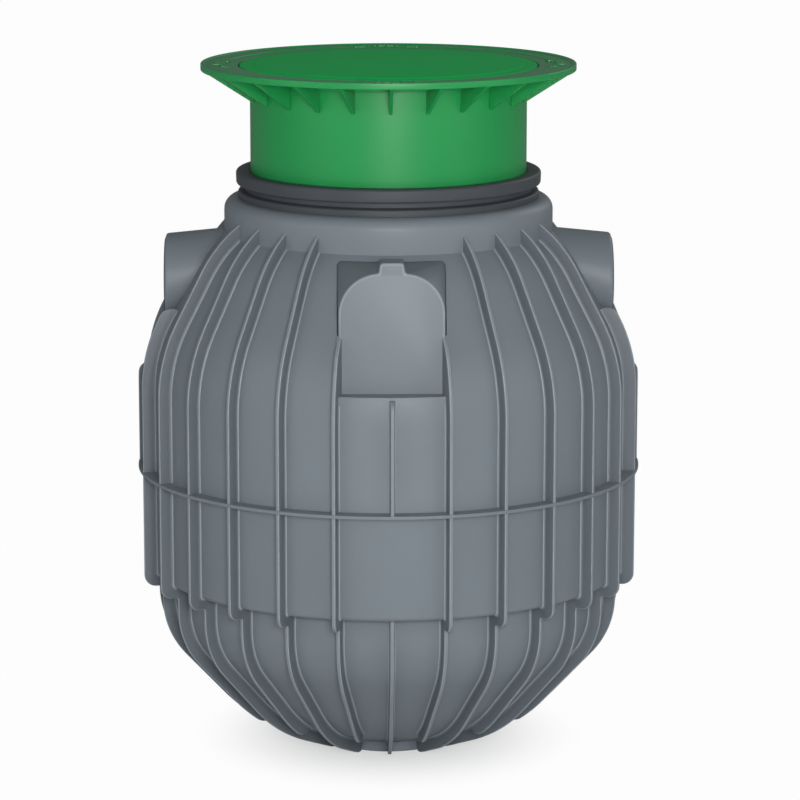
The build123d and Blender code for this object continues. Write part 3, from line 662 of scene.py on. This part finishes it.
plateRings = []
for step in range(plate["rimSteps"] + 1):
    turned = math.radians(90 * step / plate["rimSteps"])
    outline = plateOutline(plate["half"], plate["top"], plate["corner"], plate["tabTop"],
                           plate["rim"] * (1 - math.sin(turned)))
    plateRings.append([(x, -plate["front"] + plate["rim"] * (1 - math.cos(turned)), z) for x, z in outline])
baseOutline = plateOutline(plate["baseHalf"], plate["baseTop"], plate["baseCorner"], plate["baseTabTop"], 0)
baseReach = [math.sqrt(shellRadius(z) ** 2 - x ** 2) - plate["baseSink"] for x, z in baseOutline]
baseFront = plate["front"] - plate["rim"] - plate["baseStep"]
plateRings.append([(x, -min(baseFront, reach), z) for (x, z), reach in zip(baseOutline, baseReach)])
plateRings.append([(x, -pocket["depth"] + plate["backGap"], z) for x, z in baseOutline])
plateBm = bmesh.new()
loftRings(plateBm, plateRings)
bmesh.ops.recalc_face_normals(plateBm, faces=plateBm.faces)
# painted highlight along the arch's front rim, above a given height
plateRimHighlight = plateBm.verts.layers.float.new("paintedEdgeHighlight")
for vert in plateBm.verts:
    behind = vert.co.y + plate["front"]
    onRim = 1e-5 < behind < plate["rim"] * 0.8 and vert.co.z > plate["rimLowest"]
    vert[plateRimHighlight] = 0.8 if onRim else 0.0
mirrored(plateBm, 1)
archPlates = toObject(plateBm, "archPlates", plate["smooth"])

# lower shell
shelfZ, girthLowZ = tank["stepZ"] + tank["stepRise"], tank["girthZ"] - tank["girthHalf"]
lowerLine = rounded([
    (tank["girthReach"], tank["girthZ"]), (tank["girthReach"], girthLowZ, tank["girthRound"]),
    (barrel, girthLowZ, tank["girthFoot"]), (barrel, shelfZ, 0.012), (bowlRoot, shelfZ, 0.006),
    (bowlRoot, tank["bowlZ"] + 0.01)], 5)
lowerLine += bowlLine(field, tank["footRadius"])
lowerLine += rounded([(tank["footRadius"], 0.024), (tank["footRadius"], 0, tank["footRound"]), (0.01, 0)], 4)
lowerLine += [Vector((0, 0)), Vector((0, wall)), Vector((0.140, wall))]
lowerLine += reversed(bowlLine(inside, tank["footRadius"] - 0.012))
lowerLine += rounded([(tank["bowlRadius"] - inside, shelfZ + wall, 0.006), (lining, shelfZ + wall, 0.01),
                      (lining, tank["girthZ"])], 4)
lowerShell = toObject(spunMesh(lowerLine), "lowerShell")
for piece in (upperShell, upperRibs, archPlates):
    place(piece, "tank", tankPlastic, "tank_plastic", "upper_shell")
for piece in (lowerShell, lowerRibs):
    place(piece, "tank", tankPlastic, "tank_plastic", "lower_shell")
print("shells made")

# rubber seal: a foot in the neck's gap, two lips with a waist between them
seal = {"bore": 0.3204, "foot": 1.272, "neckGap": 0.3458, "lipUnder": 1.3003, "lowRadius": 0.349,
        "lowTop": 1.315, "waist": 0.333, "waistLow": 1.318, "waistTop": 1.330, "topUnder": 1.331,
        "topRadius": 0.354, "top": 1.362, "topFlat": 0.006, "boreTop": 1.360}
sealLine = rounded([
    (seal["bore"], seal["foot"]), (seal["neckGap"], seal["foot"]), (seal["neckGap"], seal["lipUnder"]),
    (seal["lowRadius"], seal["lipUnder"]), (seal["lowRadius"], seal["lowTop"], 0.005),
    (seal["waist"], seal["waistLow"], 0.002), (seal["waist"], seal["waistTop"], 0.002),
    (seal["topRadius"] - 0.001, seal["topUnder"], 0.006), (seal["topRadius"], seal["top"], 0.007),
    (seal["bore"] + seal["topFlat"], seal["top"]), (seal["bore"], seal["boreTop"], 0.001)], 6)
place(toObject(spunMesh(sealLine), "neckSeal"), "tank", sealRubber, "seal_rubber", "neck_seal")

# riser and cover frame
riser = {"radius": 0.320, "bore": 0.308, "low": 1.245, "top": 1.5828, "round": 0.003}
riserLine = rounded([
    (riser["bore"], riser["low"], riser["round"]), (riser["radius"], riser["low"], riser["round"]),
    (riser["radius"], riser["top"]), (riser["bore"], riser["top"])])
place(toObject(spunMesh(riserLine), "riserTube"), "riser", riserPlastic, "riser_plastic", "riser_tube")

cover = {"radius": 0.4335, "under": 1.594, "rimTop": 1.609, "rimWidth": 0.006, "deck": 1.606,
         "gutterDepth": 0.0012, "stepRadius": 0.3805, "innerDeck": 1.604, "mouth": 0.347, "ledgeTop": 1.5903,
         "ledge": 0.312, "cup": 0.355, "cupLow": 1.5833, "collar": 0.3272, "bore": 0.3202,
         "collarLow": 1.576, "turns": 216, "gussets": 24, "gussetLow": 1.526, "gussetReach": 0.428,
         "gussetHalf": 0.004, "gussetGap": 0.0002, "gussetFoot": 0.004, "gussetSink": 0.003}
gutterZ, rimInner = cover["deck"] - cover["gutterDepth"], cover["radius"] - cover["rimWidth"]
frameLine = rounded([
    (cover["bore"], cover["collarLow"]), (cover["collar"], cover["collarLow"], 0.002),
    (cover["collar"], cover["cupLow"]), (cover["cup"], cover["cupLow"], 0.002),
    (cover["cup"], cover["under"], 0.002), (cover["radius"], cover["under"], 0.0018),
    (cover["radius"], cover["rimTop"], 0.0018), (rimInner, cover["rimTop"], 0.001),
    (rimInner - 0.003, gutterZ, 0.001), (cover["radius"] - 0.016, gutterZ, 0.0006),
    (cover["radius"] - 0.018, cover["deck"], 0.0006), (cover["stepRadius"], cover["deck"], 0.0008),
    (cover["stepRadius"] - 0.001, cover["innerDeck"], 0.0006), (cover["mouth"], cover["innerDeck"], 0.0012),
    (cover["mouth"], cover["ledgeTop"]), (cover["ledge"], cover["ledgeTop"]),
    (cover["ledge"], cover["cupLow"]), (cover["bore"], cover["cupLow"])], 3)
coverBm = spunMesh(frameLine, steps=cover["turns"])

# one gusset: a triangle from the riser's side to the flange, its top sunk into the frame
gussetRoot, gussetInner = cover["bore"] + cover["gussetGap"], cover["cup"] - cover["gussetFoot"]
gussetTop, gussetNotch = cover["under"] + cover["gussetSink"], cover["cupLow"] + cover["gussetSink"]
gussetLine = rounded([
    (gussetRoot, cover["gussetLow"]), (cover["bore"] + cover["gussetFoot"], cover["gussetLow"], 0.002),
    (cover["gussetReach"], cover["under"] - 0.0005), (cover["gussetReach"], gussetTop),
    (gussetInner, gussetTop), (gussetInner, gussetNotch), (gussetRoot, gussetNotch)])
gussetBm = extrudedMesh(gussetLine, -cover["gussetHalf"], cover["gussetHalf"])
gussetEdges = [edge for edge in gussetBm.edges
               if len({round(vert.co.y, 5) for vert in edge.verts}) == 1
               and min(vert.co.z for vert in edge.verts) < cover["under"] - 0.001]
bmesh.ops.bevel(gussetBm, geom=gussetEdges, offset=0.0012, affect="EDGES", segments=2, profile=0.5,
                material=-1)
for index in range(cover["gussets"]):
    turnedBm = gussetBm.copy()
    bmesh.ops.rotate(turnedBm, verts=turnedBm.verts, cent=(0, 0, 0),
                     matrix=Matrix.Rotation(math.tau * index / cover["gussets"], 3, "Z"))
    joinInto(coverBm, turnedBm)
gussetBm.free()

# locking lugs: low arcs with notches between them and a small pad at either end, on all four sides
lugs = {"inner": 0.386, "outer": 0.4085, "low": 1.6055, "top": 1.6084, "step": 3.05, "gap": 0.32, "tail": 1.5}
pads = {"inner": 0.374, "outer": 0.392, "low": 1.6035, "top": 1.6076, "turn": 9.5, "half": 2.2}
padSoften = 0.0007


def arcPad(bm, form, startDeg, endDeg):
    pad = bmesh.new()
    inner, outer, low, top = form["inner"], form["outer"], form["low"], form["top"]
    corners = ((inner, 0, low), (outer, 0, low), (outer, 0, top), (inner, 0, top))
    face = pad.faces.new([pad.verts.new(point) for point in corners])
    bmesh.ops.rotate(pad, verts=pad.verts, cent=(0, 0, 0),
                     matrix=Matrix.Rotation(math.radians(startDeg), 3, "Z"))
    bmesh.ops.spin(pad, geom=[face], cent=(0, 0, 0), axis=(0, 0, 1), dvec=(0, 0, 0),
                   angle=math.radians(endDeg - startDeg), steps=6, use_merge=False, use_duplicate=False)
    bmesh.ops.recalc_face_normals(pad, faces=pad.faces)
    sharp = [edge for edge in pad.edges if len(edge.link_faces) == 2 and edge.calc_face_angle() > 1
             and max(vert.co.z for vert in edge.verts) > (low + top) / 2]
    bmesh.ops.bevel(pad, geom=sharp, offset=padSoften, affect="EDGES", segments=2, profile=0.5, material=-1)
    joinInto(bm, pad)


lugStep, lugGap, lugEnd = lugs["step"], lugs["gap"], lugs["step"] + lugs["tail"]
lugSpans = ((-lugEnd, -lugStep - lugGap), (-lugStep + lugGap, -lugGap), (lugGap, lugStep - lugGap),
            (lugStep + lugGap, lugEnd))
for side in range(4):
    middle = -90 + 90 * side
    for start, end in lugSpans:
        arcPad(coverBm, lugs, middle + start, middle + end)
    for offset in (-pads["turn"], pads["turn"]):
        arcPad(coverBm, pads, middle + offset - pads["half"], middle + offset + pads["half"])
place(toObject(coverBm, "coverFrame"), "riser", riserPlastic, "riser_plastic", "cover_frame")
print("riser and cover frame made")

# lid: a disc with a sunk ring round it
lidForm = {"radius": 0.344, "bottom": 1.5906, "top": 1.6065, "disc": 0.309, "ring": 1.6045, "ringGap": 0.004}
lidLine = rounded([
    (0, lidForm["bottom"]), (lidForm["radius"], lidForm["bottom"], 0.001),
    (lidForm["radius"], lidForm["ring"], 0.002),
    (lidForm["disc"] + lidForm["ringGap"], lidForm["ring"], 0.001),
    (lidForm["disc"], lidForm["top"], 0.002), (0, lidForm["top"])], 4)
place(toObject(spunMesh(lidLine, closed=False), "lidDisc"), "cover", lidPlastic, "lid_plastic", "lid")

# float: a ball with a shallow groove on both sides of its seam
ball = {"steps": 48, "around": 64, "grooveDepth": 0.0012, "grooveHalf": 4}
floatLow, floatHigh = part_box("float_ball")
floatCentre, floatRadius = (floatLow + floatHigh) / 2, (floatHigh.z - floatLow.z) / 2
ballLine = []
for step in range(ball["steps"] + 1):
    turned = math.pi * step / ball["steps"] - math.pi / 2
    inGroove = 0 < abs(step - ball["steps"] // 2) < ball["grooveHalf"]
    reach = floatRadius - (ball["grooveDepth"] if inGroove else 0)
    ballLine.append(Vector((max(0.0, reach * math.cos(turned)), floatCentre.z + reach * math.sin(turned))))
ballLine[0].x = ballLine[-1].x = 0
ballBm = spunMesh(ballLine, closed=False, steps=ball["around"], centre=(floatCentre.x, floatCentre.y, 0))
place(toObject(ballBm, "floatBall"), "float", floatPlastic, "float_plastic", "float_ball")

# wire mesh of the float's cage: crossing screw lines
cageLow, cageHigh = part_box("cage_rods")
cage = {"radius": 0.1305, "wires": 22, "wire": 0.0008, "turns": 1.1, "points": 48, "gap": 0.001}
meshCurve = bpy.data.curves.new("cageMesh", "CURVE")
meshCurve.dimensions = "3D"
meshCurve.bevel_depth = cage["wire"]
meshCurve.bevel_resolution = 0
cageX, cageHeight = (cageLow.x + cageHigh.x) / 2, cageHigh.z - cageLow.z - 2 * cage["gap"]
for sense in (1, -1):
    for wire in range(cage["wires"]):
        line = meshCurve.splines.new("POLY")
        line.points.add(cage["points"])
        for step in range(cage["points"] + 1):
            share = step / cage["points"]
            a = math.tau * (wire / cage["wires"] + sense * cage["turns"] * share)
            line.points[step].co = (cageX + cage["radius"] * math.cos(a), cage["radius"] * math.sin(a),
                                    cageLow.z + cage["gap"] + cageHeight * share, 1)
cageCurve = bpy.data.objects.new("cageCurve", meshCurve)
bpy.context.scene.collection.objects.link(cageCurve)
cageData = bpy.data.meshes.new_from_object(cageCurve.evaluated_get(bpy.context.evaluated_depsgraph_get()))
bpy.data.objects.remove(cageCurve)
cageMesh = bpy.data.objects.new("cageMesh", cageData)
bpy.context.scene.collection.objects.link(cageMesh)
place(cageMesh, "tank", wireSteel, "cage_wire")

slotMaterials = {"tank_plastic": tankPlastic, "seal_rubber": sealRubber, "pipe_plastic": pipePlastic,
                 "trap_plastic": trapPlastic, "cage_wire": wireSteel, "float_plastic": floatPlastic,
                 "stay_plastic": stayPlastic, "riser_plastic": riserPlastic, "lid_plastic": lidPlastic}
for entry in frame["record"]["subparts"]:
    node = nodes[entry["node"]]
    node.data.materials.clear()
    node.data.materials.append(slotMaterials[entry["material_slot"]])
print("inside dressed")

# floor, background and lights
stage = {"floorSize": 30, "paper": 0.86, "white": 1.0, "farShare": 0.97, "nearShare": 0.50,
         "shadowFrom": 0.12, "shadowTo": 0.48, "ambient": 0.25, "sky": (0.93, 0.96, 1.0),
         "aim": (0, 0, 0.85)}
floorBm = bmesh.new()
bmesh.ops.create_grid(floorBm, x_segments=1, y_segments=1, size=stage["floorSize"])
floor = toObject(floorBm, "floor")
floorPaper = bpy.data.materials.new("floorPaper")
floorPaper.use_nodes = True
floorTree = floorPaper.node_tree
floorTree.nodes.remove(floorTree.nodes["Principled BSDF"])
floorOut = floorTree.nodes["Material Output"]
dull = addNode(floorTree, "ShaderNodeBsdfDiffuse")
dull.inputs["Color"].default_value = (stage["paper"],) * 3 + (1,)
glow = addNode(floorTree, "ShaderNodeEmission", Strength=stage["white"])
rays = floorTree.nodes.new("ShaderNodeLightPath")
fromMiddle = floorTree.nodes.new("ShaderNodeVectorMath")
fromMiddle.operation = "LENGTH"
floorTree.links.new(floorTree.nodes.new("ShaderNodeTexCoord").outputs["Object"], fromMiddle.inputs[0])
# near the object less glow, so that the floor's real shadow shows there, and the floor round the base is also
# darkened as painted shade
whiteShare = floorTree.nodes.new("ShaderNodeMapRange")
whiteShare.interpolation_type = "SMOOTHSTEP"
whiteRange = {"From Min": "shadowFrom", "From Max": "shadowTo", "To Min": "nearShare", "To Max": "farShare"}
for key, value in whiteRange.items():
    whiteShare.inputs[key].default_value = stage[value]
floorTree.links.new(fromMiddle.outputs["Value"], whiteShare.inputs["Value"])
glowShare = floorTree.nodes.new("ShaderNodeMath")
glowShare.operation = "MULTIPLY"
floorTree.links.new(whiteShare.outputs["Result"], glowShare.inputs[1])
floorTree.links.new(rays.outputs["Is Camera Ray"], glowShare.inputs[0])
blendShader = floorTree.nodes.new("ShaderNodeMixShader")
floorTree.links.new(glowShare.outputs["Value"], blendShader.inputs["Fac"])
floorTree.links.new(dull.outputs["BSDF"], blendShader.inputs[1])
floorTree.links.new(glow.outputs["Emission"], blendShader.inputs[2])
floorTree.links.new(blendShader.outputs["Shader"], floorOut.inputs["Surface"])
floor.data.materials.append(floorPaper)

world = bpy.data.worlds.new("studio")
bpy.context.scene.world = world
world.use_nodes = True
worldTree = world.node_tree
soft = worldTree.nodes["Background"]
soft.inputs["Color"].default_value = (*stage["sky"], 1)
soft.inputs["Strength"].default_value = stage["ambient"]
whiteBack = addNode(worldTree, "ShaderNodeBackground", Strength=1.0)
whiteBack.inputs["Color"].default_value = (1, 1, 1, 1)
worldRays = worldTree.nodes.new("ShaderNodeLightPath")
worldMix = worldTree.nodes.new("ShaderNodeMixShader")
worldTree.links.new(worldRays.outputs["Is Camera Ray"], worldMix.inputs["Fac"])
worldTree.links.new(soft.outputs["Background"], worldMix.inputs[1])
worldTree.links.new(whiteBack.outputs["Background"], worldMix.inputs[2])
worldTree.links.new(worldMix.outputs["Shader"], worldTree.nodes["World Output"].inputs["Surface"])

lamps = {"front": {"at": (0.3, -6.2, 2.2), "size": 1.6, "power": 232},
         "left": {"at": (-4.9, -3.4, 2.3), "size": 3.2, "power": 50},
         "right": {"at": (4.9, -3.4, 2.3), "size": 3.2, "power": 50},
         "rim": {"at": (3.5, 3.0, 3.4), "size": 2.0, "power": 30}}
for name, lamp in lamps.items():
    light = bpy.data.objects.new(name, bpy.data.lights.new(name, "AREA"))
    light.data.size = lamp["size"]
    light.data.energy = lamp["power"]
    light.location = lamp["at"]
    light.rotation_euler = (Vector(stage["aim"]) - light.location).to_track_quat("-Z", "Y").to_euler()
    bpy.context.scene.collection.objects.link(light)

bpy.context.scene.view_settings.view_transform = "Standard"
